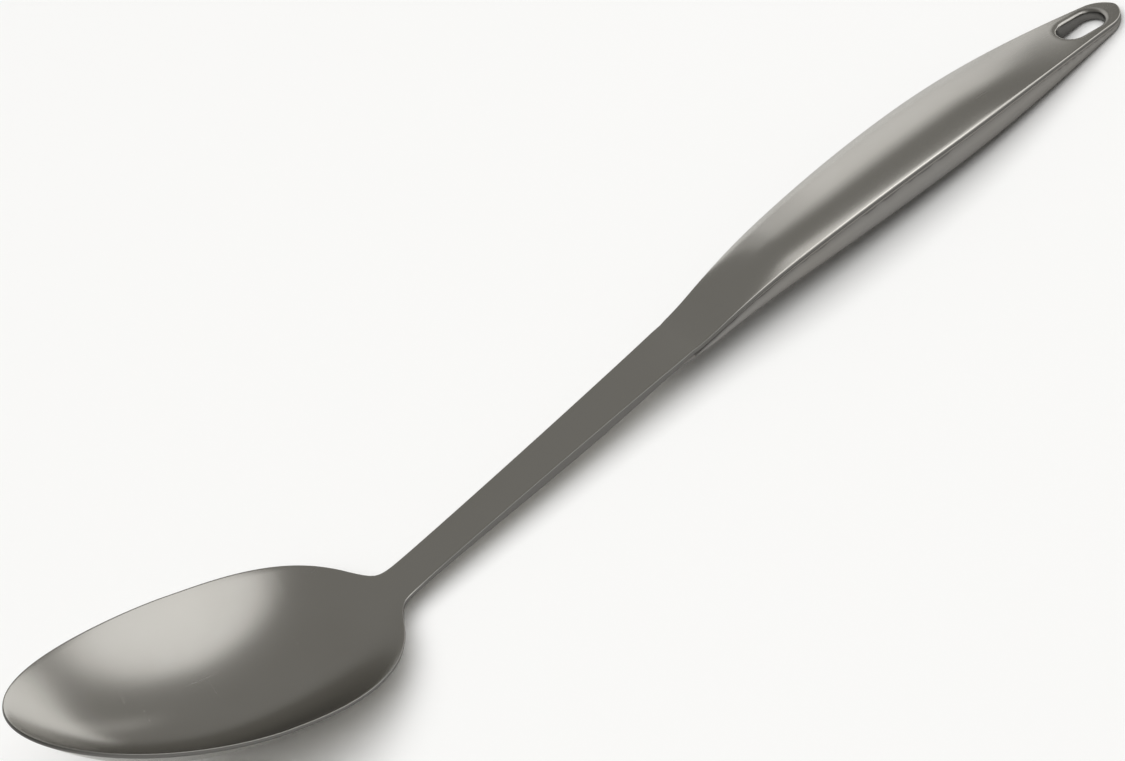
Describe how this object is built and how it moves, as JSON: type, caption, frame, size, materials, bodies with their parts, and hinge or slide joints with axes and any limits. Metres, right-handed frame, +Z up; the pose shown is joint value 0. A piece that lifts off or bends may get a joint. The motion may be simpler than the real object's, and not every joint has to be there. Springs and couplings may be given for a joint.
{
  "type": "serving spoon",
  "caption": "Solid serving spoon of pressed stainless steel with a deep oval bowl, flat shank, hollow crowned handle and an oblong hanging slot.",
  "frame": {"origin": "on the table under the middle of the spoon's length and width, as it lies on the heel of its bowl and the back of its handle", "axes": "+X from the bowl's tip towards the tail of the handle, +Y across the spoon, +Z up from the table on the side of the bowl's hollow"},
  "size_m": [0.3314, 0.064, 0.0501],
  "materials": {
    "polished_sheet": "polished stainless steel sheet, finely buffed",
    "satin_back": "satin polished stainless steel pressing",
    "ground_weld": "weld ground flush and polished"
  },
  "bodies": {
    "root": {"spoon_blade": "polished_sheet", "handle_back": "satin_back", "seam_weld_left": "ground_weld", "seam_weld_right": "ground_weld", "nose_weld": "ground_weld", "eye_weld": "ground_weld"}
  },
  "joints": []
}
